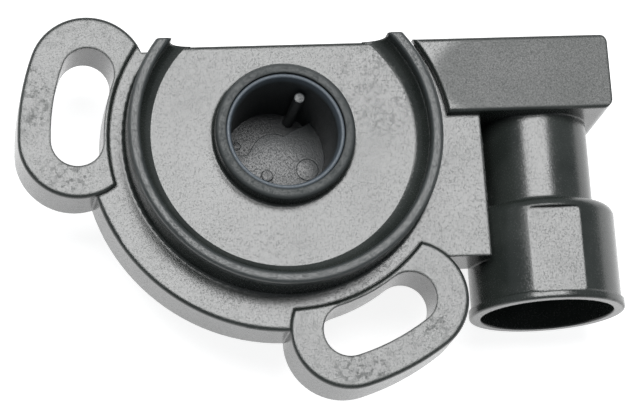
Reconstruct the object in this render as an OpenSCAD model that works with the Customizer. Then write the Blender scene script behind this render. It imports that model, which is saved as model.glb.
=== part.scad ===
// Throttle position sensor with a rotary drive socket, two curved
// adjusting slots, a half ring round the drive boss and a round
// three-pin socket at one side.
// The drive axis is Z. Z = 0 is the seat plane of the two lugs, and the
// drive side looks up. All sizes are in millimetres.

/* [Flange and lugs] */
// Radius of the round flange
flange_r = 20.8; // [20.2:0.1:21.6]
// Thickness of the flange
flange_t = 6.0; // [4.5:0.5:6.5]
// Distance from the drive axis to the flat side
flat_y = 10.3; // [10.2:0.1:11]
// Radius on which the adjusting slots lie
slot_path_r = 21.8; // [21.4:0.1:22.4]
// Width of an adjusting slot, for an M5 screw
slot_w = 5.6; // [5.2:0.1:5.8]
// Turn that a slot allows, between the centres of its ends, in degrees
slot_sweep = 20; // [14:1:24]
// Half the width of a lug
lug_half_w = 6.3; // [6.0:0.1:6.8]
// Height of the lug seat over the flange
lug_rise = 0.5; // [0.3:0.1:0.8]
// Direction of the middle of the first slot, in degrees
lug_a_dir = 168.4; // [166:0.2:170]
// Direction of the middle of the second slot, in degrees
lug_b_dir = -64.5; // [-66:0.5:-62]
// Radius at which the raised faces stop short of the half ring
pad_inner_r = 18.4; // [18.2:0.1:18.8]
// Rounding of the outer edges
edge_r = 0.4; // [0.2:0.05:0.45]

/* [Half ring and web] */
// Outer radius of the half ring
ring_r = 16.8; // [16.6:0.1:17.2]
// Wall of the half ring
ring_wall = 1.3; // [1.0:0.1:1.6]
// Height of the half ring over the seat plane
ring_top = 4.5; // [3.5:0.1:6]
// Height of the web inside the half ring over the seat plane
web_top = 1.25; // [1.0:0.05:1.6]
// Fillet between the web and the half ring
ring_fillet = 0.9; // [0.4:0.1:1.0]
// Fillet at the outer foot of the half ring
foot_fillet = 0.3; // [0.15:0.05:0.4]

/* [Drive boss and rotor] */
// Outer radius of the drive boss
boss_r = 7.5; // [7.5:0.05:7.8]
// Height of the boss over the seat plane
boss_top = 3.7; // [3.2:0.1:4.4]
// Rounding of the boss rim
boss_round = 0.5; // [0.2:0.05:0.6]
// Outer radius of the rotor tube
rotor_r = 6.35; // [6.2:0.05:6.4]
// Radial running clearance between the rotor and the boss
running_gap = 0.06; // [0.03:0.01:0.09]
// Radius of the drive socket
socket_r = 5.25; // [5:0.05:5.4]
// Radius of the socket mouth at the rim
mouth_r = 5.85; // [5.7:0.05:5.9]
// How far the rotor rim lies under the boss rim
rotor_drop = 0.25; // [0.1:0.05:0.5]
// Depth of the drive ledge under the rotor rim
ledge_depth = 6.2; // [5:0.1:6.5]
// Depth of the drive pocket under the ledge
pocket_depth = 3.4; // [2:0.1:3.6]
// Start of the open pocket sector, in degrees
pocket_from = 35; // [25:1:45]
// End of the open pocket sector, in degrees
pocket_to = 187; // [175:1:195]
// Travel of the rotor, in degrees
travel = 95; // [80:1:100]

/* [Connector] */
// Distance of the socket axis from the drive axis
conn_x = 28.8; // [28.6:0.1:29.4]
// Depth of the socket axis under the seat plane
conn_drop = 7.0; // [6.8:0.1:7.4]
// Radius of the neck
neck_r = 6.0; // [5.8:0.1:6.4]
// Radius of the collar
collar_r = 8.2; // [8:0.1:8.4]
// Radius of the lip round the mouth
lip_r = 8.5; // [8.45:0.05:8.7]
// Radius of the socket hollow
hollow_r = 7.3; // [6.9:0.1:7.5]
// Distance of the shoulder behind the drive axis
shoulder_y = 7.3; // [6.5:0.1:8.5]
// Distance of the mouth behind the drive axis
mouth_y = 18.7; // [17:0.1:19.5]
// Depth of the socket hollow
hollow_depth = 10.2; // [8:0.1:11]
// Width of the flat on the collar
facet_w = 5.7; // [4:0.1:7]
// Distance between neighbouring terminals
pin_pitch = 3.0; // [2.4:0.1:3.2]

/* [Terminal block] */
// Right end of the raised block
block_x = 36.4; // [36:0.1:37.5]
// Front side of the raised block
block_y = 2.35; // [2:0.05:2.6]
// Height of the raised block over the seat plane
block_top = 0.7; // [0.4:0.1:1.2]
// Depth of the block under the seat plane
block_low = 12.0; // [11:0.5:13]
// Right edge of the connecting plate
plate_x = 21.85; // [21.5:0.05:22.2]
// Front edge of the connecting plate
plate_y = 13.35; // [13.2:0.05:13.8]

/* [Rear body] */
// Depth of the ceiling over the terminal feet, under the seat plane
foot_room_drop = 3.0; // [2.5:0.1:4]
// Radius of the rear body
rear_r = 17.2; // [17:0.1:17.8]
// Wall of the rear body
rear_wall = 2.0; // [1.8:0.1:2.1]
// Thickness of the rear cover
cover_t = 1.5; // [1.3:0.1:1.8]
// Thickness of the web over the cavity
web_t = 2.25; // [2:0.05:2.5]
// Clearance between parts that are laid into each other
seat_gap = 0.05; // [0.02:0.01:0.1]

/* [Inner parts] */
// Radius of the spring coil, to the middle of the wire
coil_r = 8.3; // [8.25:0.05:8.4]
// Thickness of the spring wire
wire_d = 0.7; // [0.5:0.05:0.8]
// Number of spring turns
coil_turns = 3.5; // [3.5:1:4.5]
// Radius of the outer wiper track
outer_track_r = 12.4; // [12.2:0.1:12.6]
// Radius of the inner wiper track
inner_track_r = 9.2; // [9:0.1:9.5]
// Thickness of the element board
board_t = 0.8; // [0.6:0.1:1.0]

/* [Hidden] */
$fn = 96;

plastic = [0.17, 0.18, 0.18];
steel = [0.62, 0.63, 0.65];
brass = [0.72, 0.60, 0.32];

eps = 0.02;
far = 60;
// overshoot of cutting bodies, and reach of a fillet into its solid
over = 1;
root = 0.3;

// levels along the drive axis
flange_top = -lug_rise;
flange_low = flange_top - flange_t;
rotor_top = boss_top - rotor_drop;
ledge_z = rotor_top - ledge_depth;
pocket_z = ledge_z - pocket_depth;
ceiling_z = web_top - web_t;
conn_z = -conn_drop;
rear_low = conn_z - lip_r;
cover_top = rear_low + cover_t;
board_top = cover_top + board_t;
bore_r = rotor_r + running_gap;

// seal pocket under the web
seal_w = 0.95;
seal_h = 1.8;
seal_recess = 0.4;
seal_outer_r = bore_r + seal_w;
seal_top = ceiling_z + seal_recess;
seal_low = seal_top - seal_h;
retainer_t = 0.4;
pocket_low = seal_low - retainer_t;
seal_lip_gap = 0.03;
seal_lip_w = 0.55;

// sloped mouth, drive post and floor features of the socket
mouth_depth = 0.9;
pocket_r = socket_r - 0.05;
post_r = 0.58;
post_at = [2.07, 4.26];
post_top = rotor_top - 2.3;
hub_r = 1.7;
side_hub_r = 2.15;
side_hub_at = [-0.75, -0.75];
witness_r = 1.2;
witness_at = [2.96, -2.67];
witness_depth = 0.12;
relief_from = 230;
relief_to = 264;
relief_depth = 0.6;
relief_in_r = 2.8;
pip_r = 0.6;
pip_at = [-1.42, -3.2];
floor_mark_r = 0.45;
floor_mark_at = [-4.12, 1.0];

// rotor flange, spigot and pivot
rotor_flange_r = coil_r + 0.75;
rotor_flange_t = 1.2;
rotor_floor_t = 1.2;
rotor_flange_low = pocket_z - rotor_floor_t - rotor_flange_t;
// room for the flange where it runs past the flat wall
flange_room_r = rotor_flange_r + 0.13;
seal_wall_r = flange_room_r + 0.07;
spigot_r = 4.5;
carrier_t = 1.8;
clip_t = 0.4;
carrier_top = rotor_flange_low;
carrier_low = carrier_top - carrier_t;
clip_low = carrier_low - clip_t;
pivot_r = 2.0;
bush_wall = 0.6;
bush_top = board_top + 0.1;
pivot_low = rear_low + 0.75;
washer_t = 0.3;
end_play = 0.06;
stub_shoulder_z = bush_top + washer_t + end_play;

// wiper carrier and its lock washer
carrier_hub_r = 7.2;
arm_r = 14.0;
arm_half = 9;
clip_r = 6.2;
tooth_l = 0.9;
tooth_w = 0.7;

// Coil of the return spring. It winds down from its anchor in the housing
// to the rotor, and both ends bend upright into their holes.
coil_play = 0.1;
coil_top = pocket_low - wire_d / 2 - coil_play;
coil_low = rotor_flange_low + rotor_flange_t + wire_d / 2 + coil_play;
full_turn = 360;
spring_start = 200;
spring_end = spring_start + full_turn * coil_turns;
coil_steps = 24;
bend_steps = 3;
wire_sides = 8;
bend_r = 0.6;
bend_turn = full_turn / 2 * bend_r / (PI * coil_r);
anchor_dir = spring_start - bend_turn;
hook_dir = spring_end + bend_turn;
anchor_depth = 1.2;
end_room = 0.1;
anchor_top = pocket_low + anchor_depth - end_room;
hook_low = rotor_flange_low + end_room;

// printed tracks and the wipers on them
track_t = 0.08;
contact_gap = 0.04;
track_half = 1.0;
track_from = -155;
track_to = -2;

// terminals, straight in the socket and bent once towards the board
pin_w = 1.5;
pin_t = 0.64;
pin_tip_y = -(mouth_y - 5.5);
riser_x = 19.2;
run_y = [3.8, 5.5, 7.2];
foot_w = 1.5;
foot_l = 2.6;
foot_t = 0.5;
rivet_r = 0.45;
rivet_hole_r = rivet_r + 0.02;
rivet_x = riser_x - 1.7;
rivet_head_r = 0.8;
terminal_gap = 0.01;

// collar details
facet_z = conn_z + sqrt(collar_r * collar_r - facet_w * facet_w / 4);
shoulder_round = 1.2;
neck_fillet = 0.5;
lip_t = 0.9;
lip_round = 0.25;
facet_from = mouth_y - 0.8;
facet_to = shoulder_y + shoulder_round;

// rear body outline
ext_x = 24.5;
ext_y = -6.2;
cover_step_z = rear_low + 0.85;
cover_boss_r = 4.0;

// raised block
block_corner_r = 1.0;
block_end_w = 6.0;
block_tail = 6.0;
block_back = flat_y + 0.4;

// stop tab of the rotor
tab_span = 14;
tab_r = 13.2;
stop_r = rear_r - rear_wall;
stop_in_r = tab_r - 1.4;
stop_span = 8;
stop_play = 1;
arm_room = 0.5;
foot_room_x = stop_r - 0.5;
rest_dir = -32;

// square bar with two rounded upper corners
module topped_bar(w, low, high, r) {
    translate([0, low]) square([w, high - low - r]);
    translate([r, low]) square([w - 2 * r, high - low]);
    translate([r, high - r]) circle(r, $fn = 24);
    translate([w - r, high - r]) circle(r, $fn = 24);
}

// half of such a bar, from its middle outwards
module topped_half(r, low, high, rim) {
    translate([0, low]) square([r, high - low - rim]);
    translate([0, low]) square([r - rim, high - low]);
    translate([r - rim, high - rim]) circle(rim, $fn = 24);
}

// round bar about Z with a rounded upper rim
module topped_disc(r, low, high, rim) {
    rotate_extrude() topped_half(r, low, high, rim);
}

// sector of a ring about Z
module ring_sector(r_in, r_out, low, high, from, to) {
    rotate([0, 0, from])
        rotate_extrude(angle = to - from)
            translate([r_in, low]) square([r_out - r_in, high - low]);
}

// slot about +X that follows the slot path, open through the given levels
module curved_slot(half_w, low, high) {
    half = slot_sweep / 2;
    ring_sector(slot_path_r - half_w, slot_path_r + half_w, low, high, -half, half);
    rotate([0, 0, half])
        translate([slot_path_r, 0, 0]) ring_sector(0, half_w, low, high, 0, 180);
    rotate([0, 0, -half])
        translate([slot_path_r, 0, 0]) ring_sector(0, half_w, low, high, 180, 360);
}

// lug blank about +X: a curved bar with round ends and rounded upper edges
module lug_blank() {
    half = slot_sweep / 2;
    rotate([0, 0, -half])
        rotate_extrude(angle = slot_sweep)
            translate([slot_path_r - lug_half_w, 0])
                topped_bar(2 * lug_half_w, flange_low, 0, edge_r);
    rotate([0, 0, half])
        translate([slot_path_r, 0, 0])
            rotate_extrude(angle = 180) topped_half(lug_half_w, flange_low, 0, edge_r);
    rotate([0, 0, -half])
        translate([slot_path_r, 0, 0])
            rotate([0, 0, 180])
                rotate_extrude(angle = 180) topped_half(lug_half_w, flange_low, 0, edge_r);
}

// clears the raised faces inside their inner radius and rounds that edge
module inner_clearer(top) {
    rotate_extrude()
        difference() {
            translate([0, flange_top]) square([pad_inner_r + edge_r, top - flange_top + over]);
            translate([pad_inner_r, flange_top - over]) square([edge_r * 2, top - flange_top + over - edge_r]);
            translate([pad_inner_r + edge_r, top - edge_r]) circle(edge_r, $fn = 24);
        }
}

module lugs() {
    difference() {
        for (dir = [lug_a_dir, lug_b_dir]) rotate([0, 0, dir]) lug_blank();
        inner_clearer(0);
    }
}

// everything on the drive side of the flat
module flat_side_keep(y) {
    translate([-far, y - 2 * far, -far]) cube([2 * far, 2 * far, 2 * far]);
}

// flange with a rounded upper rim, cut along the flat
module flange() {
    intersection() {
        topped_disc(flange_r, flange_low, flange_top, edge_r);
        flat_side_keep(flat_y);
    }
}

// straight bar along X that joins the flange, the block and the neck
module plate() {
    translate([0, -plate_y, flange_low])
        cube([plate_x, plate_y + flat_y, flange_t]);
}

module ring_profile() {
    translate([ring_r - ring_wall, 0])
        topped_bar(ring_wall, flange_top - root, ring_top, ring_wall / 3.2);
    // fillet down to the web
    translate([ring_r - ring_wall - ring_fillet, web_top])
        difference() {
            translate([0, -root]) square([ring_fillet + root, ring_fillet + root]);
            translate([0, ring_fillet]) circle(ring_fillet, $fn = 32);
        }
    // fillet down to the flange
    translate([ring_r, flange_top])
        difference() {
            translate([-root, -root]) square([foot_fillet + root, foot_fillet + root]);
            translate([foot_fillet, foot_fillet]) circle(foot_fillet, $fn = 24);
        }
}

// half ring, web and boss, all cut along the flat
module drive_side() {
    intersection() {
        union() {
            rotate_extrude() ring_profile();
            translate([0, 0, flange_low])
                cylinder(r = ring_r - ring_wall / 2, h = web_top - flange_low);
        }
        flat_side_keep(flat_y);
    }
    topped_disc(boss_r, flange_low, boss_top, boss_round);
    rotate_extrude()
        translate([boss_r, web_top])
            difference() {
                translate([-root, -root]) square([foot_fillet + root, foot_fillet + root]);
                translate([foot_fillet, foot_fillet]) circle(foot_fillet, $fn = 24);
            }
}

// raised terminal block behind the connector
module block() {
    height = block_low + block_top;
    difference() {
        union() {
            translate([pad_inner_r - block_tail, block_y, -block_low])
                cube([block_x - block_corner_r - pad_inner_r + block_tail, block_back - block_y, height]);
            translate([block_x - block_end_w, block_y + block_corner_r, -block_low])
                cube([block_end_w, block_back - block_y - 2 * block_corner_r, height]);
            for (y = [block_y + block_corner_r, block_back - block_corner_r])
                translate([block_x - block_corner_r, y, -block_low]) cylinder(r = block_corner_r, h = height);
        }
        // curved left end, concentric with the half ring
        inner_clearer(block_top);
        // inside of the flange the block is only a face
        translate([0, 0, -far]) cylinder(r = pad_inner_r + 0.6, h = far + flange_top);
        block_edge_cut();
    }
}

// rounds the long upper edges of the block
module block_edge_cut() {
    for (side = [0, 1])
        translate([pad_inner_r - block_tail - over, side == 0 ? block_y : block_back, block_top])
            mirror([0, side, 0])
                rotate([90, 0, 90])
                    linear_extrude(height = block_x)
                        difference() {
                            translate([-over, -edge_r]) square([over + edge_r, edge_r + over]);
                            translate([edge_r, -edge_r]) circle(edge_r, $fn = 24);
                        }
}

// neck, collar and lip of the socket, along -Y
module connector_shell() {
    translate([conn_x, 0, conn_z])
        rotate([90, 0, 0])
            rotate_extrude() {
                translate([0, -block_y - over]) square([neck_r, shoulder_y + block_y + 2 * over]);
                // shoulder with a rounded edge
                translate([0, shoulder_y]) square([collar_r - shoulder_round, mouth_y - shoulder_y]);
                translate([0, shoulder_y + shoulder_round])
                    square([collar_r, mouth_y - shoulder_y - shoulder_round]);
                translate([collar_r - shoulder_round, shoulder_y + shoulder_round])
                    circle(shoulder_round, $fn = 32);
                // fillet between the neck and the shoulder
                translate([neck_r, shoulder_y])
                    difference() {
                        translate([-root, -neck_fillet]) square([neck_fillet + root, neck_fillet + root]);
                        translate([neck_fillet, -neck_fillet]) circle(neck_fillet, $fn = 24);
                    }
                // lip
                translate([0, mouth_y - lip_t]) square([lip_r, lip_t - lip_round]);
                translate([0, mouth_y - lip_t]) square([lip_r - lip_round, lip_t]);
                translate([lip_r - lip_round, mouth_y - lip_round]) circle(lip_round, $fn = 24);
            }
}

// flat on the collar with a rounded outline
module facet_cut() {
    r = 0.5;
    translate([conn_x - facet_w / 2, -facet_from + r, facet_z])
        cube([facet_w, facet_from - facet_to - 2 * r, 2]);
    translate([conn_x - facet_w / 2 + r, -facet_from, facet_z])
        cube([facet_w - 2 * r, facet_from - facet_to, 2]);
    for (sx = [-1, 1], y = [-facet_from + r, -facet_to - r])
        translate([conn_x + sx * (facet_w / 2 - r), y, facet_z]) cylinder(r = r, h = 2);
}

// outline of the rear body, set in by a margin
module rear_plan(inset) {
    intersection() {
        union() {
            circle(rear_r - inset);
            translate([0, ext_y + inset])
                square([ext_x - inset, flat_y - ext_y - 2 * inset]);
        }
        translate([-far, flat_y - inset - 2 * far]) square([2 * far, 2 * far]);
    }
}

module rear_prism(inset, low, high) {
    translate([0, 0, low]) linear_extrude(height = high - low) rear_plan(inset);
}

// path of one terminal, grown by a margin
module terminal_path(i, grow) {
    x = conn_x + (i - 1) * pin_pitch;
    translate([x - pin_w / 2 - grow, pin_tip_y, conn_z - pin_t / 2 - grow])
        cube([pin_w + 2 * grow, run_y[i] + pin_w / 2 - pin_tip_y + grow, pin_t + 2 * grow]);
    translate([riser_x - pin_t / 2 - grow, run_y[i] - pin_w / 2 - grow, conn_z - pin_t / 2 - grow])
        cube([x + pin_w / 2 - riser_x + pin_t / 2 + 2 * grow, pin_w + 2 * grow, pin_t + 2 * grow]);
}

module housing() {
    color(plastic)
    difference() {
        union() {
            flange();
            plate();
            lugs();
            drive_side();
            block();
            connector_shell();
            rear_prism(0, rear_low, flange_low + over);
        }
        // adjusting slots
        for (dir = [lug_a_dir, lug_b_dir])
            rotate([0, 0, dir]) curved_slot(slot_w / 2, flange_low - over, over);
        // cavity for the works, and the rebate for the cover
        difference() {
            intersection() {
                translate([0, 0, rear_low - over])
                    cylinder(r = rear_r - rear_wall, h = ceiling_z - rear_low + over);
                union() {
                    flat_side_keep(flat_y - rear_wall);
                    // relief of the flat wall for the rotor flange and the
                    // coil, open to the rear
                    translate([0, 0, -far]) cylinder(r = flange_room_r, h = 2 * far);
                }
            }
            seal_housing();
            rotor_stops();
        }
        rear_prism(rear_wall, rear_low - over, rotor_flange_low - arm_room);
        translate([foot_room_x, ext_y + rear_wall, rear_low])
            cube([ext_x - rear_wall - foot_room_x, flat_y - ext_y - 2 * rear_wall, -foot_room_drop - rear_low]);
        rear_prism(rear_wall / 2, rear_low - over, cover_top);
        // rotor bore and seal pocket
        translate([0, 0, pocket_low - over]) cylinder(r = bore_r, h = boss_top - pocket_low + 2 * over);
        translate([0, 0, pocket_low - over]) cylinder(r = seal_outer_r, h = seal_top - pocket_low + over);
        // anchor hole of the spring
        rotate([0, 0, anchor_dir]) translate([coil_r, 0, pocket_low - over])
            cylinder(r = wire_d / 2 + seat_gap, h = anchor_depth + over, $fn = 32);
        // socket hollow and the flat on its collar
        translate([conn_x, -mouth_y + hollow_depth, conn_z])
            rotate([90, 0, 0]) cylinder(r = hollow_r, h = hollow_depth + over);
        facet_cut();
        // flat outer edge of the web
        web_edge_cut();
        // channels that the terminals were moulded into
        for (i = [0, 1, 2]) terminal_path(i, terminal_gap);
    }
}

// ring wall round the seal, under the web
module seal_housing() {
    translate([0, 0, pocket_low]) cylinder(r = seal_wall_r, h = ceiling_z - pocket_low + over);
}

// two stop blocks that limit the rotor
module rotor_stops() {
    reach = tab_span / 2 + stop_play;
    for (a = [rest_dir + reach, rest_dir - travel - reach - stop_span])
        ring_sector(stop_in_r, stop_r + over, rotor_flange_low + 0.3, ceiling_z + over, a, a + stop_span);
}

// rounds the edge of the web along the flat
module web_edge_cut() {
    translate([-ring_r, flat_y, web_top])
        mirror([0, 1, 0])
            rotate([90, 0, 90])
                linear_extrude(height = 2 * ring_r)
                    difference() {
                        translate([-over, -edge_r]) square([over + edge_r, edge_r + eps]);
                        translate([edge_r, -edge_r]) circle(edge_r, $fn = 24);
                    }
}

// rotor with the drive socket, open at the top
module drive_rotor() {
    color([0.24, 0.25, 0.26])
    difference() {
        union() {
            topped_disc(rotor_r, rotor_flange_low, rotor_top, 0.2);
            translate([0, 0, rotor_flange_low]) cylinder(r = rotor_flange_r, h = rotor_flange_t);
            // stop tab
            ring_sector(rotor_flange_r - over, tab_r - 0.4, rotor_flange_low, rotor_flange_low + rotor_flange_t,
                        rest_dir - tab_span / 2, rest_dir + tab_span / 2);
            // spigot for the carrier, shoulder and pivot
            translate([0, 0, clip_low]) cylinder(r = spigot_r, h = carrier_top - clip_low + eps);
            translate([0, 0, stub_shoulder_z]) cylinder(r = pivot_r + 0.8, h = clip_low - stub_shoulder_z + eps);
            translate([0, 0, pivot_low]) cylinder(r = pivot_r, h = clip_low - pivot_low);
        }
        // socket down to the ledge, with a sloped mouth
        rotate_extrude()
            polygon([[0, ledge_z], [socket_r, ledge_z], [socket_r, rotor_top - mouth_depth],
                     [mouth_r, rotor_top], [mouth_r, rotor_top + over], [0, rotor_top + over]]);
        // drive pocket beside the two round hubs of the ledge
        difference() {
            ring_sector(over, pocket_r, pocket_z, ledge_z + over, pocket_from, pocket_to);
            translate([0, 0, pocket_z - over]) cylinder(r = hub_r, h = pocket_depth + 2 * over);
            translate([side_hub_at[0], side_hub_at[1], pocket_z - over])
                cylinder(r = side_hub_r, h = pocket_depth + 2 * over);
        }
        // witness mark and relief on the ledge
        translate([witness_at[0], witness_at[1], ledge_z - witness_depth]) cylinder(r = witness_r, h = over);
        difference() {
            ring_sector(relief_in_r, pocket_r, ledge_z - relief_depth, ledge_z + over, relief_from, relief_to);
            translate([pip_at[0], pip_at[1], ledge_z - over]) cylinder(r = pip_r, h = over - 0.05);
        }
        // round mark on the pocket floor
        translate([floor_mark_at[0], floor_mark_at[1], pocket_z - 0.1]) cylinder(r = floor_mark_r, h = over);
        // hole for the lower end of the spring
        rotate([0, 0, hook_dir]) translate([coil_r, 0, rotor_flange_low - over])
            cylinder(r = wire_d / 2 + seat_gap, h = rotor_flange_t + 2 * over, $fn = 32);
    }
    // upright drive post beside the wall
    color([0.24, 0.25, 0.26])
    translate([post_at[0], post_at[1], pocket_z - root]) cylinder(r = post_r, h = post_top - pocket_z + root);
}

// rubber lip seal round the rotor
module shaft_seal() {
    color([0.08, 0.08, 0.08])
    rotate_extrude()
        difference() {
            translate([rotor_r + seal_lip_gap, seal_low + seat_gap])
                square([seal_outer_r - seat_gap - rotor_r - seal_lip_gap, seal_top - seal_low - 2 * seat_gap]);
            // relief behind the lip
            translate([rotor_r + seal_lip_w, seal_low + 0.2]) circle(seal_lip_w / 2, $fn = 24);
        }
}

// pressed washer that keeps the seal in its pocket
module seal_retainer() {
    color(steel)
    difference() {
        translate([0, 0, pocket_low]) cylinder(r = seal_outer_r - seat_gap / 2, h = retainer_t - seat_gap);
        translate([0, 0, pocket_low - over]) cylinder(r = rotor_r + 0.2, h = 2 * over);
    }
}

// ring of points round the wire; lean is 0 where the wire stands upright
// and 90 where it runs round the coil
function wire_ring(a, z, lean) =
    [for (s = [0 : wire_sides - 1])
        let (w = full_turn * s / wire_sides, r = coil_r + wire_d / 2 * cos(w), v = wire_d / 2 * sin(w))
        [r * cos(a) - v * cos(lean) * sin(a), r * sin(a) + v * cos(lean) * cos(a), z + v * sin(lean)]];

module return_spring() {
    n = coil_steps * coil_turns;
    upright = 90;
    upper = [for (k = [0 : bend_steps - 1])
        let (b = upright * k / bend_steps)
        wire_ring(spring_start - bend_turn * cos(b), coil_top + bend_r * (1 - sin(b)), b)];
    around = [for (k = [0 : n])
        wire_ring(spring_start + full_turn * k / coil_steps, coil_top + (coil_low - coil_top) * k / n, upright)];
    lower = [for (k = [1 : bend_steps])
        let (b = upright - upright * k / bend_steps)
        wire_ring(spring_end + bend_turn * cos(b), coil_low - bend_r * (1 - sin(b)), b)];
    rings = concat([wire_ring(anchor_dir, anchor_top, 0)], upper, around, lower,
                   [wire_ring(hook_dir, hook_low, 0)]);
    count = len(rings);
    sides = [for (k = [0 : count - 2], s = [0 : wire_sides - 1])
        let (t = (s + 1) % wire_sides, a = k * wire_sides, b = a + wire_sides)
        [a + s, a + t, b + t, b + s]];
    first = [[for (s = [0 : wire_sides - 1]) wire_sides - 1 - s]];
    last = [[for (s = [0 : wire_sides - 1]) (count - 1) * wire_sides + s]];
    color(steel) polyhedron(points = [for (r = rings) each r], faces = concat(sides, first, last));
}

// arm that carries the wipers over the element board
module wiper_carrier() {
    color([0.82, 0.80, 0.72])
    difference() {
        union() {
            translate([0, 0, carrier_low]) cylinder(r = carrier_hub_r, h = carrier_t - seat_gap);
            ring_sector(carrier_hub_r - over, arm_r, carrier_low, carrier_top - seat_gap,
                        rest_dir - arm_half, rest_dir + arm_half);
        }
        translate([0, 0, carrier_low - over]) cylinder(r = spigot_r + seat_gap / 2, h = carrier_t + 2 * over);
        // recess on the upper side of the arm
        ring_sector(carrier_hub_r + 1.0, arm_r - 1.2, carrier_top - 0.7, carrier_top + over,
                    rest_dir - arm_half + 3.5, rest_dir + arm_half - 3.5);
    }
}

// toothed spring washer that locks the carrier on its spigot
module carrier_clip() {
    color(steel)
    difference() {
        translate([0, 0, clip_low]) cylinder(r = clip_r, h = clip_t - seat_gap / 2);
        translate([0, 0, clip_low - over]) cylinder(r = spigot_r + 0.02, h = clip_t + 2 * over);
        for (k = [0 : 5])
            rotate([0, 0, k * 60])
                translate([spigot_r, -tooth_w / 2, clip_low - over]) cube([tooth_l, tooth_w, clip_t + 2 * over]);
    }
}

// leaf with four contact fingers, sprung down to its track
module wiper(track_r) {
    leaf_t = 0.16;
    top = carrier_low;
    tip = board_top + track_t + contact_gap;
    reach = 3.4;
    finger_w = 0.34;
    finger_pitch = 0.5;
    rotate([0, 0, rest_dir])
        translate([sqrt(track_r * track_r - reach * reach), 0, 0]) {
            translate([-0.95, -1.1, top - leaf_t]) cube([1.9, 2.2, leaf_t - eps / 2]);
            for (k = [-1.5 : 1 : 1.5])
                translate([k * finger_pitch + finger_w / 2, 0, 0])
                    rotate([90, 0, -90])
                        linear_extrude(height = finger_w)
                            polygon([[-1.05, top - eps / 2], [-1.05, top - leaf_t],
                                     [-reach, tip + 0.05], [-reach - 0.25, tip], [-reach - 0.5, tip + 0.1],
                                     [-reach - 0.6, tip + 0.5], [-reach - 0.45, tip + 0.5],
                                     [-reach - 0.35, tip + 0.25], [-reach - 0.25, tip + 0.16],
                                     [-1.3, top - eps / 2]]);
        }
}

module outer_wiper() {
    color([0.80, 0.78, 0.70]) wiper(outer_track_r);
}

module inner_wiper() {
    color([0.80, 0.78, 0.70]) wiper(inner_track_r);
}

// bush that guides the pivot in the cover
module pivot_bush() {
    color(brass)
    difference() {
        translate([0, 0, pivot_low - 0.2]) cylinder(r = pivot_r + running_gap + bush_wall, h = bush_top - pivot_low + 0.2);
        translate([0, 0, pivot_low - over])
            cylinder(r = pivot_r + running_gap, h = bush_top - pivot_low + 2 * over);
    }
}

// wave washer between the pivot shoulder and the bush
module thrust_washer() {
    color(steel)
    difference() {
        translate([0, 0, bush_top]) cylinder(r = pivot_r + 0.75, h = washer_t);
        translate([0, 0, bush_top - over]) cylinder(r = pivot_r + 0.15, h = washer_t + 2 * over);
    }
}

// half-moon board with an ear towards the terminals
module element_board() {
    color([0.30, 0.22, 0.14])
    difference() {
        translate([0, 0, cover_top])
            linear_extrude(height = board_t)
                difference() {
                    intersection() {
                        rear_plan(rear_wall + 0.25);
                        translate([-far, -far]) square([2 * far, far + flat_y - rear_wall - 0.25]);
                    }
                    translate([-far, 5.2]) square([far + 14.5, far]);
                    circle(4.2);
                }
        for (y = run_y) translate([rivet_x, y, cover_top - over]) cylinder(r = rivet_hole_r, h = 3 * over);
    }
}

module resistor_track() {
    color([0.05, 0.05, 0.05])
    ring_sector(outer_track_r - track_half, outer_track_r + track_half, board_top, board_top + track_t,
                track_from, track_to);
}

module collector_track() {
    color([0.75, 0.75, 0.72])
    ring_sector(inner_track_r - track_half, inner_track_r + track_half, board_top, board_top + track_t,
                track_from, track_to);
}

// printed silver pads under the terminal feet
module contact_pads() {
    color([0.78, 0.78, 0.80])
    for (y = run_y)
        difference() {
            translate([riser_x - 2.75, y - 0.8, board_top]) cube([3.0, 1.6, track_t]);
            translate([rivet_x, y, board_top - over]) cylinder(r = rivet_hole_r, h = 3 * over);
        }
}

// one bent terminal with its foot on the board
module terminal(i) {
    x = conn_x + (i - 1) * pin_pitch;
    foot_low = board_top + track_t;
    difference() {
        union() {
            difference() {
                terminal_path(i, 0);
                // pointed tip of the blade
                for (s = [-1, 1])
                    translate([x + s * pin_w / 2, pin_tip_y, conn_z])
                        rotate([0, 0, 45]) cube([0.6, 0.6, 2], center = true);
            }
            translate([riser_x - pin_t / 2, run_y[i] - foot_w / 2, foot_low])
                cube([pin_t, foot_w, conn_z + pin_t / 2 - foot_low]);
            translate([riser_x - foot_l, run_y[i] - foot_w / 2, foot_low]) cube([foot_l, foot_w, foot_t]);
        }
        translate([rivet_x, run_y[i], foot_low - over]) cylinder(r = rivet_hole_r, h = 3 * over);
    }
}

module supply_terminal() {
    color(brass) terminal(0);
}

module signal_terminal() {
    color(brass) terminal(1);
}

module ground_terminal() {
    color(brass) terminal(2);
}

// three rivets that fix the terminal feet to the board
module terminal_rivets() {
    color(steel)
    for (y = run_y) {
        translate([rivet_x, y, cover_top + eps]) cylinder(r = rivet_r, h = board_t + track_t + foot_t);
        translate([rivet_x, y, board_top + track_t + foot_t + 0.005]) cylinder(r = rivet_head_r, h = 0.3);
    }
}

// cover laid into the rebate, stepped for the sealant, with a bush seat
module rear_cover() {
    color([0.14, 0.15, 0.15])
    difference() {
        union() {
            rear_prism(rear_wall / 2 + seat_gap, cover_step_z, cover_top);
            rear_prism(rear_wall - 0.1, rear_low, cover_step_z + eps);
            translate([0, 0, cover_top - eps]) cylinder(r = cover_boss_r, h = board_t);
        }
        translate([0, 0, pivot_low - 0.2])
            cylinder(r = pivot_r + running_gap + bush_wall + 0.01, h = bush_top - pivot_low + over);
    }
}

// sealant in the groove round the cover
module cover_sealant() {
    color([0.10, 0.10, 0.11])
    difference() {
        rear_prism(rear_wall / 2 + 0.01, rear_low + 0.1, cover_step_z - 0.01);
        rear_prism(rear_wall - 0.11, rear_low - over, cover_step_z + over);
    }
}

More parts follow.
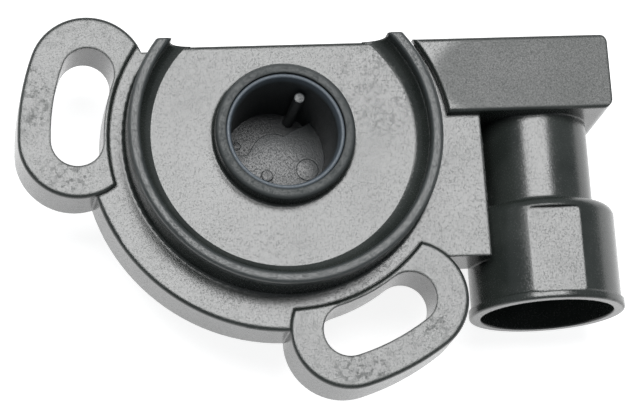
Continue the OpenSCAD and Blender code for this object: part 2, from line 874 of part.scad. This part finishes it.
housing();
drive_rotor();
shaft_seal();
seal_retainer();
return_spring();
wiper_carrier();
carrier_clip();
outer_wiper();
inner_wiper();
pivot_bush();
thrust_washer();
element_board();
resistor_track();
collector_track();
contact_pads();
supply_terminal();
signal_terminal();
ground_terminal();
terminal_rivets();
rear_cover();
cover_sealant();
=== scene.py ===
import math

import bmesh
import bpy
from mathutils import Matrix, Vector


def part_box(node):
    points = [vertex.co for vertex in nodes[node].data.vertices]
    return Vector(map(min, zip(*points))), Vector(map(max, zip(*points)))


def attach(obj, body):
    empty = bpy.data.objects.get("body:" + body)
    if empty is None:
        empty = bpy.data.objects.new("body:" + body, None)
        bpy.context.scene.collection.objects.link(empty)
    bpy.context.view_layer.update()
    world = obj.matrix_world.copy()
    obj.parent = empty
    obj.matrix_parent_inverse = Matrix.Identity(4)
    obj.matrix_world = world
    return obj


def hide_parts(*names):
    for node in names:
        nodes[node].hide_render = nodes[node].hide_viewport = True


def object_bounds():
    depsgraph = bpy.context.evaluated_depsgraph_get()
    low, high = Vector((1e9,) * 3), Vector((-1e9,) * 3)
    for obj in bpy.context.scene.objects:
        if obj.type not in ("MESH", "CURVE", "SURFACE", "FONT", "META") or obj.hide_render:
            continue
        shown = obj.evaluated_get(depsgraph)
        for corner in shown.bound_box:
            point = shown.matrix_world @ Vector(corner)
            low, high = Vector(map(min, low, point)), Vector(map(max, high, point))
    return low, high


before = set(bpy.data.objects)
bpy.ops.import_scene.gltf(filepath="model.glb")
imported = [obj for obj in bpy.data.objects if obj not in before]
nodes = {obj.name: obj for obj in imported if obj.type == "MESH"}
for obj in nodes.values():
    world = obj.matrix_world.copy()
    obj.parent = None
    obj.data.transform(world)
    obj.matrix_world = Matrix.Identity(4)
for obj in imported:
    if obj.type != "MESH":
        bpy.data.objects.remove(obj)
cad_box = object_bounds()
scene = bpy.context.scene

# The housing is one injection moulding in black filled plastic. The
# mould is spark-eroded, so the faces carry a fine grain, and handling
# has rubbed the lugs and left smudges on them.


def wire(tree, source, target):
    tree.links.new(source, target)


def grain(tree, place, size, detail, rough):
    noise = tree.nodes.new("ShaderNodeTexNoise")
    noise.inputs["Scale"].default_value = 1.0 / size
    noise.inputs["Detail"].default_value = detail
    noise.inputs["Roughness"].default_value = rough
    wire(tree, place, noise.inputs["Vector"])
    return noise.outputs["Fac"]


def ramp(tree, value, low, high, start, end):
    step = tree.nodes.new("ShaderNodeMapRange")
    step.interpolation_type = "SMOOTHSTEP"
    step.inputs["From Min"].default_value = low
    step.inputs["From Max"].default_value = high
    step.inputs["To Min"].default_value = start
    step.inputs["To Max"].default_value = end
    wire(tree, value, step.inputs["Value"])
    return step.outputs["Result"]


def sums(tree, kind, first, second):
    node = tree.nodes.new("ShaderNodeMath")
    node.operation = kind
    for socket, value in zip(node.inputs, (first, second)):
        if isinstance(value, (int, float)):
            socket.default_value = value
        else:
            wire(tree, value, socket)
    return node.outputs["Value"]


def tinted(tree, amount, dark, light):
    mix = tree.nodes.new("ShaderNodeMix")
    mix.data_type = "RGBA"
    for socket, colour in (("A", dark), ("B", light)):
        if isinstance(colour, tuple):
            mix.inputs[socket].default_value = (*colour, 1.0)
        else:
            wire(tree, colour, mix.inputs[socket])
    wire(tree, amount, mix.inputs["Factor"])
    return mix.outputs["Result"]


def dented(tree, shader, height, depth, strength, base=None):
    bump = tree.nodes.new("ShaderNodeBump")
    bump.inputs["Strength"].default_value = strength
    bump.inputs["Distance"].default_value = depth
    wire(tree, height, bump.inputs["Height"])
    if base:
        wire(tree, base, bump.inputs["Normal"])
    wire(tree, bump.outputs["Normal"], shader.inputs["Normal"])


# one where the place lies inside the ellipsoid, zero outside it
def inside(tree, place, centre, reach, soft):
    shift = tree.nodes.new("ShaderNodeMapping")
    shift.vector_type = "TEXTURE"
    shift.inputs["Location"].default_value = centre
    shift.inputs["Scale"].default_value = reach
    wire(tree, place, shift.inputs["Vector"])
    length = tree.nodes.new("ShaderNodeVectorMath")
    length.operation = "LENGTH"
    wire(tree, shift.outputs["Vector"], length.inputs[0])
    return ramp(tree, length.outputs["Value"], 1.0 - soft, 1.0 + soft, 1.0, 0.0)


# how much a rubbed place adds to the roughness, in blotches where it has a blotch size
def rubbing(tree, place, centre, reach, soft, amount, blotch):
    area = inside(tree, place, centre, reach, soft)
    if blotch:
        patches = ramp(tree, grain(tree, place, blotch, 8.0, 0.72), 0.48, 0.60, 0.0, 1.0)
        area = sums(tree, "MULTIPLY", area, patches)
    return sums(tree, "MULTIPLY", area, amount)


# rim says how the plastic changes from a low height to a high one: rougher and coarser, and tinted
# towards a given colour, which is a painted sheen standing in for the bluish reflection on the top
# edges
def moulded(name, dark, light, gloss, matt, grain_size, grain_depth, ior=1.5, edge=0.0001,
            rubbed=(), rim=None):
    cloud_size = 0.006
    pit_size = 1.2 * grain_size
    material = bpy.data.materials.new(name)
    material.use_nodes = True
    tree = material.node_tree
    shader = tree.nodes["Principled BSDF"]
    place = tree.nodes.new("ShaderNodeTexCoord").outputs["Object"]
    cloud = grain(tree, place, cloud_size, 3.0, 0.55)
    speckle = grain(tree, place, grain_size, 2.0, 0.6)
    pits = ramp(tree, grain(tree, place, pit_size, 3.0, 0.7), 0.34, 0.48, 0.0, 1.0)
    colour = tinted(tree, ramp(tree, cloud, 0.35, 0.7, 0.0, 1.0), dark, light)
    level = sums(tree, "ADD", ramp(tree, speckle, 0.3, 0.7, gloss, matt),
                 ramp(tree, cloud, 0.3, 0.75, -0.02, 0.03))
    level = sums(tree, "ADD", level, ramp(tree, pits, 0.0, 1.0, 0.07, 0.0))
    for patch in rubbed:
        level = sums(tree, "ADD", level, rubbing(tree, place, *patch))
    relief = sums(tree, "ADD", speckle, sums(tree, "MULTIPLY", pits, 0.5))
    if rim:
        low, high, rougher, coarser, sheen_tint = rim
        axes = tree.nodes.new("ShaderNodeSeparateXYZ")
        wire(tree, place, axes.inputs["Vector"])
        wear_and_sheen = ramp(tree, axes.outputs["Z"], low, high, 0.0, 1.0)
        level = sums(tree, "ADD", level, sums(tree, "MULTIPLY", wear_and_sheen, rougher))
        relief = sums(tree, "MULTIPLY", relief,
                      sums(tree, "ADD", sums(tree, "MULTIPLY", wear_and_sheen, coarser), 1.0))
        # painted sheen: above the given height the colour turns towards the rim's tint, standing in
        # for the bluish reflection on the top edges
        colour = tinted(tree, wear_and_sheen, colour, sheen_tint)
    wire(tree, colour, shader.inputs["Base Color"])
    wire(tree, level, shader.inputs["Roughness"])
    shader.inputs["IOR"].default_value = ior
    rounded = tree.nodes.new("ShaderNodeBevel")
    rounded.samples = 6
    rounded.inputs["Radius"].default_value = edge
    dented(tree, shader, relief, grain_depth, 0.6, rounded.outputs["Normal"])
    return material


def dress(node, material):
    piece = nodes[node]
    piece.data.materials.clear()
    piece.data.materials.append(material)


# A rubbed place has a centre, its reach, a soft edge, how much duller it
# is, and the size of its blotches, or 0 where it is even.
boss_rim = ((0.0, 0.0, 0.0037), (0.0077, 0.0077, 0.0009), 0.12)
wall_crest = ((0.0, 0.0, 0.0048), (0.0200, 0.0200, 0.0007), 0.20)
block_top = ((0.0280, 0.0065, 0.0009), (0.0120, 0.0060, 0.0006), 0.10)
lug_face = 0.0
web_face = 0.00125
skin = 0.0008


def smudge(x, y, z, reach_x, reach_y, soft, amount, blotch):
    return (x, y, z), (reach_x, reach_y, skin), soft, amount, blotch


handled = (
    (*boss_rim, 0.24, 0.0),
    (*boss_rim, 0.20, 0.0005),
    (*wall_crest, 0.07, 0.0),
    (*wall_crest, 0.14, 0.0004),
    (*block_top, 0.21, 0.0),
    smudge(-0.0265, 0.0050, lug_face, 0.0022, 0.0040, 0.35, 0.19, 0.0009),
    smudge(-0.0235, -0.0035, lug_face, 0.0030, 0.0016, 0.40, 0.20, 0.0007),
    smudge(-0.0230, 0.0060, lug_face, 0.0090, 0.0120, 0.30, 0.07, 0.0011),
    smudge(0.0068, -0.0252, lug_face, 0.0030, 0.0016, 0.40, 0.22, 0.0008),
    smudge(0.0140, -0.0200, lug_face, 0.0026, 0.0022, 0.40, 0.20, 0.0008),
    smudge(0.0100, -0.0210, lug_face, 0.0110, 0.0080, 0.30, 0.07, 0.0011),
    smudge(0.0105, 0.0050, web_face, 0.0050, 0.0055, 0.45, 0.13, 0.0005),
    smudge(-0.0100, 0.0070, web_face, 0.0070, 0.0045, 0.45, 0.05, 0.0006),
    smudge(-0.0060, -0.0120, web_face, 0.0070, 0.0030, 0.45, 0.06, 0.0006),
)
# The rim entry tints the housing's tops, from 2.9 mm to 3.3 mm up, a little bluer, a painted sheen for
# the reflection on the crests, and also makes them rougher with a coarser grain.
housing_plastic = moulded("housing_plastic", dark=(0.018, 0.022, 0.020), light=(0.030, 0.035, 0.032),
                          gloss=0.16, matt=0.27, grain_size=0.00018, grain_depth=0.000011,
                          ior=1.62, edge=0.00035, rubbed=handled,
                          rim=(0.0029, 0.0033, 0.10, 1.6, (0.030, 0.036, 0.036)))
dress("housing", housing_plastic)

# The rotor is moulded in the same kind of plastic, a little bluer. Its
# tube ends in a rounded rim, and the throttle shaft's blade drops into its
# socket, past an upright post, onto a ledge beside an open pocket.

# The rim entry paints the rotor's top, from 2.2 mm to 3.0 mm up, a much lighter blue-grey, a painted
# sheen for the bluish reflection on the rounded rim, and also makes it rougher.
rotor_plastic = moulded("rotor_plastic", dark=(0.020, 0.023, 0.024), light=(0.032, 0.036, 0.038),
                        gloss=0.32, matt=0.42, grain_size=0.00016, grain_depth=0.000033,
                        ior=1.60, edge=0.00008,
                        rim=(0.0022, 0.0030, 0.12, 0.4, (0.090, 0.110, 0.130)))
rotor_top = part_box("drive_rotor")[1].z
flange_face = -0.00730
tube_r = 0.00635
rim_round = 0.00022
mouth_r, mouth_depth = 0.00572, 0.0009
band_r, band_depth = 0.00563, 0.0016
socket_r = 0.00552
ledge_z = -0.0065
ledge_r = 0.0056
pocket_z = -0.0083
pocket_r = 0.0053
hub_r = 0.00253
sunk = 0.0002
disc_r, disc_at, disc_rise = 0.0012, (0.00356, -0.00166), 0.00006
pip_r, pip_at, pip_rise = 0.00064, (-0.00087, -0.00222), 0.00020
relief_r, relief_rise = 0.0021, 0.00005
mark_r, mark_at, mark_rise = 0.00045, (-0.00377, 0.00171), 0.00005
post_r, post_at, post_below = 0.00058, (0.00207, 0.00426), 0.0023


def turned(mesh, outline, steps):
    ring = [mesh.verts.new((r, 0.0, z)) for r, z in outline]
    run = [mesh.edges.new(pair) for pair in zip(ring, ring[1:])]
    bmesh.ops.spin(mesh, geom=ring + run, axis=(0, 0, 1), cent=(0, 0, 0), dvec=(0, 0, 0),
                   angle=math.tau, steps=steps, use_merge=True, use_duplicate=False)
    bmesh.ops.remove_doubles(mesh, verts=mesh.verts, dist=1e-7)


def trimmed(mesh, place, outward):
    bmesh.ops.bisect_plane(mesh, geom=mesh.verts[:] + mesh.edges[:] + mesh.faces[:], dist=1e-7,
                           plane_co=place, plane_no=outward, clear_outer=True)


def raised(mesh, outline, low, high, rim):
    corners = [mesh.verts.new((x, y, low)) for x, y in outline]
    foot = mesh.faces.new(corners)
    grown = bmesh.ops.extrude_face_region(mesh, geom=[foot])["geom"]
    top = [part for part in grown if isinstance(part, bmesh.types.BMVert)]
    bmesh.ops.translate(mesh, verts=top, vec=(0, 0, high - low))
    edges = [part for part in grown if isinstance(part, bmesh.types.BMEdge)]
    bmesh.ops.bevel(mesh, geom=edges, affect="EDGES", offset=rim, segments=3, profile=0.5, material=-1)


def arc(radius, start, end, steps, centre=(0.0, 0.0)):
    turns = [math.radians(start + (end - start) * k / steps) for k in range(steps + 1)]
    return [(centre[0] + radius * math.cos(t), centre[1] + radius * math.sin(t)) for t in turns]


def finished(name, mesh, sharp, material):
    bmesh.ops.recalc_face_normals(mesh, faces=mesh.faces)
    data = bpy.data.meshes.new(name)
    mesh.to_mesh(data)
    mesh.free()
    data.shade_smooth()
    data.set_sharp_from_angle(angle=math.radians(sharp))
    data.materials.append(material)
    piece = bpy.data.objects.new(name, data)
    scene.collection.objects.link(piece)
    return piece


shell = bmesh.new()
shell.from_mesh(nodes["drive_rotor"].data)
bmesh.ops.remove_doubles(shell, verts=shell.verts, dist=1e-7)
trimmed(shell, (0, 0, flange_face), (0, 0, 1))
crest = arc(rim_round, 0, 180, 10, (tube_r - rim_round, rotor_top - rim_round))
turned(shell, [(tube_r, flange_face)] + crest
       + [(mouth_r, rotor_top - mouth_depth), (band_r, rotor_top - band_depth),
          (socket_r, ledge_z), (pocket_r, pocket_z), (0.0, pocket_z)], 128)
ledge = (arc(ledge_r, 41, -186, 60)
         + [(-0.0036, 0.00022), (-0.0030, 0.00020), (-0.00262, 0.00055)]
         + arc(hub_r, 155, 62, 24) + [(0.00172, 0.00250), (0.00190, 0.00262)])
notch = arc(ledge_r, 268, 238, 8) + arc(relief_r, 232, 258, 6)
raised(shell, ledge, pocket_z, ledge_z, 0.00008)
raised(shell, arc(disc_r, 0, 348, 29, disc_at), ledge_z - sunk, ledge_z + disc_rise, 0.00005)
raised(shell, arc(pip_r, 0, 340, 17, pip_at), ledge_z - sunk, ledge_z + pip_rise, 0.00006)
raised(shell, notch, ledge_z - sunk, ledge_z + relief_rise, 0.00004)
raised(shell, arc(mark_r, 0, 340, 17, mark_at), pocket_z - sunk, pocket_z + mark_rise, 0.00004)
raised(shell, arc(post_r, 0, 345, 23, post_at), pocket_z - sunk, rotor_top - post_below, 0.00008)
rotor = finished("rotor_with_socket", shell, 34, rotor_plastic)
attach(rotor, "rotor_body")
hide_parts("drive_rotor")

# The half wall's foot sweeps up from the web in a wide curve, part of the
# same moulding, and ends flush with the flat side. Its back is sunk into
# the web and the wall.

sweep_r = 0.001804
sweep_centre = (0.013683, 0.0029925)
foot_back = 0.01570
foot_bed = 0.00105
flat_side = 0.01028

foot = bmesh.new()
sweep = arc(sweep_r, -85, -5, 16, sweep_centre)
turned(foot, sweep + [(foot_back, sweep[-1][1]), (foot_back, foot_bed), (sweep[0][0], foot_bed),
                      sweep[0]], 192)
trimmed(foot, (0, flat_side, 0), (0, 1, 0))
bmesh.ops.holes_fill(foot, edges=[edge for edge in foot.edges if edge.is_boundary], sides=0)
wall_foot = finished("wall_foot", foot, 34, housing_plastic)
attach(wall_foot, "housing_body")

# The seal is a moulded nitrile rubber ring, pressed into the bore, with a
# bloom on its lip.

seal_rubber = moulded("seal_rubber", dark=(0.010, 0.010, 0.010), light=(0.024, 0.023, 0.022),
                      gloss=0.55, matt=0.75, grain_size=0.00018, grain_depth=0.000008, edge=0.00008)
dress("shaft_seal", seal_rubber)

# Retainer, lock washer and thrust washer are stamped from bright steel
# strip, which keeps the strip's rolling lines.


def rolled_metal(name, dark, light, gloss, matt, stretch):
    line_size = 0.0012
    cloud_size = 0.003
    material = bpy.data.materials.new(name)
    material.use_nodes = True
    tree = material.node_tree
    shader = tree.nodes["Principled BSDF"]
    shader.inputs["Metallic"].default_value = 1.0
    place = tree.nodes.new("ShaderNodeTexCoord").outputs["Object"]
    mapping = tree.nodes.new("ShaderNodeMapping")
    mapping.inputs["Scale"].default_value = stretch
    wire(tree, place, mapping.inputs["Vector"])
    lines = grain(tree, mapping.outputs["Vector"], line_size, 4.0, 0.6)
    cloud = grain(tree, place, cloud_size, 3.0, 0.5)
    colour = tinted(tree, ramp(tree, cloud, 0.35, 0.7, 0.0, 1.0), dark, light)
    wire(tree, colour, shader.inputs["Base Color"])
    wire(tree, ramp(tree, lines, 0.3, 0.7, gloss, matt), shader.inputs["Roughness"])
    dented(tree, shader, lines, 0.000006, 0.35)
    return material


washer_steel = rolled_metal("washer_steel", dark=(0.50, 0.50, 0.51), light=(0.66, 0.66, 0.67),
                            gloss=0.22, matt=0.42, stretch=(1.0, 9.0, 9.0))
for washer in ("seal_retainer", "carrier_clip", "thrust_washer"):
    dress(washer, washer_steel)

# The return spring is wound from drawn music wire, which shows fine
# drawing lines round its turns.

spring_steel = rolled_metal("spring_steel", dark=(0.36, 0.36, 0.38), light=(0.54, 0.54, 0.56),
                            gloss=0.25, matt=0.45, stretch=(4.0, 4.0, 14.0))
dress("return_spring", spring_steel)

# The carrier is an unfilled natural moulding that holds the two wipers,
# each cut and bent from thin contact sheet.

carrier_plastic = moulded("carrier_plastic", dark=(0.56, 0.52, 0.41), light=(0.66, 0.62, 0.50),
                          gloss=0.42, matt=0.55, grain_size=0.0004, grain_depth=0.000010)
dress("wiper_carrier", carrier_plastic)
contact_alloy = rolled_metal("contact_alloy", dark=(0.70, 0.62, 0.42), light=(0.82, 0.75, 0.55),
                             gloss=0.18, matt=0.35, stretch=(8.0, 1.0, 8.0))
for leaf in ("outer_wiper", "inner_wiper"):
    dress(leaf, contact_alloy)

# A brass bush, turned on a lathe and pressed into the rear cover, guides
# the rotor's pivot.

bush_brass = rolled_metal("bush_brass", dark=(0.62, 0.46, 0.20), light=(0.78, 0.62, 0.32),
                          gloss=0.2, matt=0.38, stretch=(2.0, 2.0, 16.0))
dress("pivot_bush", bush_brass)

# The element board is brown paper laminate with printed tracks: carbon
# film for the outer one, silver film for the inner one and the pads.

board_laminate = moulded("board_laminate", dark=(0.16, 0.085, 0.035), light=(0.24, 0.14, 0.065),
                         gloss=0.38, matt=0.55, grain_size=0.0005, grain_depth=0.000012, edge=0.00005)
dress("element_board", board_laminate)
resistor_ink = moulded("resistor_ink", dark=(0.010, 0.010, 0.011), light=(0.026, 0.026, 0.028),
                       gloss=0.40, matt=0.60, grain_size=0.00015, grain_depth=0.000006, edge=0.00002)
dress("resistor_track", resistor_ink)
silver_ink = rolled_metal("silver_ink", dark=(0.58, 0.57, 0.55), light=(0.74, 0.73, 0.70),
                          gloss=0.35, matt=0.55, stretch=(3.0, 3.0, 3.0))
for print_layer in ("collector_track", "contact_pads"):
    dress(print_layer, silver_ink)

# Three terminals are stamped from brass strip and tinned. They are
# moulded into the housing and riveted to the board.

terminal_brass = rolled_metal("terminal_brass", dark=(0.62, 0.57, 0.45), light=(0.78, 0.74, 0.62),
                              gloss=0.25, matt=0.42, stretch=(9.0, 1.5, 9.0))
for blade in ("supply_terminal", "signal_terminal", "ground_terminal"):
    dress(blade, terminal_brass)
rivet_metal = rolled_metal("rivet_metal", dark=(0.55, 0.55, 0.53), light=(0.68, 0.68, 0.66),
                           gloss=0.28, matt=0.45, stretch=(5.0, 5.0, 5.0))
dress("terminal_rivets", rivet_metal)

# The rear cover is laid into its rebate and potted in with black resin,
# which stands a little glossy in the groove.

cover_plastic = moulded("cover_plastic", dark=(0.020, 0.021, 0.021), light=(0.034, 0.035, 0.035),
                        gloss=0.40, matt=0.58, grain_size=0.0003, grain_depth=0.000014, ior=1.55)
dress("rear_cover", cover_plastic)
sealant_resin = moulded("sealant_resin", dark=(0.012, 0.012, 0.013), light=(0.022, 0.022, 0.024),
                        gloss=0.10, matt=0.22, grain_size=0.0009, grain_depth=0.000030, ior=1.55)
dress("cover_sealant", sealant_resin)

# The part lies on a plain pale table, which reads as white paper and
# still keeps the part's shadow.

table_reach = 1.5
table_gap = 0.00002
table_grey = 0.50
table_glow = 0.86
rest_z = cad_box[0].z

table_mesh = bmesh.new()
bmesh.ops.create_grid(table_mesh, x_segments=2, y_segments=2, size=table_reach,
                      matrix=Matrix.Translation((0.0, 0.0, rest_z - table_gap)))
table_data = bpy.data.meshes.new("table")
table_mesh.to_mesh(table_data)
table_mesh.free()
table = bpy.data.objects.new("table", table_data)
scene.collection.objects.link(table)

paper = bpy.data.materials.new("table_paper")
paper.use_nodes = True
tree = paper.node_tree
tree.nodes.clear()
sheen = tree.nodes.new("ShaderNodeBsdfDiffuse")
sheen.inputs["Color"].default_value = (table_grey, table_grey, table_grey, 1.0)
glow = tree.nodes.new("ShaderNodeEmission")
glow.inputs["Color"].default_value = (1.0, 1.0, 1.0, 1.0)
path = tree.nodes.new("ShaderNodeLightPath")
mirrored = sums(tree, "MAXIMUM", path.outputs["Is Glossy Ray"], path.outputs["Is Transmission Ray"])
seen = sums(tree, "MULTIPLY", path.outputs["Is Camera Ray"], table_glow)
wire(tree, sums(tree, "MAXIMUM", mirrored, seen), glow.inputs["Strength"])
both = tree.nodes.new("ShaderNodeAddShader")
wire(tree, sheen.outputs["BSDF"], both.inputs[0])
wire(tree, glow.outputs["Emission"], both.inputs[1])
finish = tree.nodes.new("ShaderNodeOutputMaterial")
wire(tree, both.outputs["Shader"], finish.inputs["Surface"])
table_data.materials.append(paper)

# One large soft lamp stands where the flat faces mirror it to the camera,
# in a dim, slightly blue room.

lamp_width = 0.92
lamp_height = 0.42
lamp_power = 11.5
lamp_side = Vector((-0.06, 0.257, 1.0)).normalized()
lamp_tilt = Vector((1.0, 0.0, 0.06)).normalized()
room_colour = (0.9, 0.95, 1.0, 1.0)
room_level = 0.26


def placed(place, x_axis, y_axis, z_axis):
    turn = Matrix((x_axis, y_axis, z_axis)).transposed()
    return Matrix.Translation(place) @ turn.to_4x4()


world = bpy.data.worlds.new("studio")
world.use_nodes = True
world.node_tree.nodes["Background"].inputs["Color"].default_value = room_colour
world.node_tree.nodes["Background"].inputs["Strength"].default_value = room_level
scene.world = world

lamp_data = bpy.data.lights.new("overhead_softbox", "AREA")
lamp_data.shape = "RECTANGLE"
lamp_data.size = lamp_width
lamp_data.size_y = lamp_height
lamp_data.energy = lamp_power
lamp = bpy.data.objects.new("overhead_softbox", lamp_data)
scene.collection.objects.link(lamp)
lamp_up = lamp_side.cross(lamp_tilt).normalized()
lamp.matrix_world = placed(lamp_side, lamp_up.cross(lamp_side), lamp_up, lamp_side)

# The camera looks at the photograph's angle, from far off and almost
# straight down, a little from the plug side.

image_width = 640.0
focal_pixels = 3291.4
film_width = 36.0
camera_place = (-0.0509, -0.0937, 0.3346)
look = Vector((0.1558, 0.2463, -0.9566)).normalized()
right = Vector((0.9872, -0.0716, 0.1423))
right = (right - look * right.dot(look)).normalized()

camera_data = bpy.data.cameras.new("camera")
camera_data.sensor_fit = "HORIZONTAL"
camera_data.sensor_width = film_width
camera_data.lens = focal_pixels / image_width * film_width
camera_data.clip_start = 0.01
camera_data.clip_end = 10.0
camera = bpy.data.objects.new("camera", camera_data)
camera.matrix_world = placed(camera_place, right, right.cross(look), -look)
scene.collection.objects.link(camera)
scene.camera = camera
scene.view_settings.view_transform = "Standard"
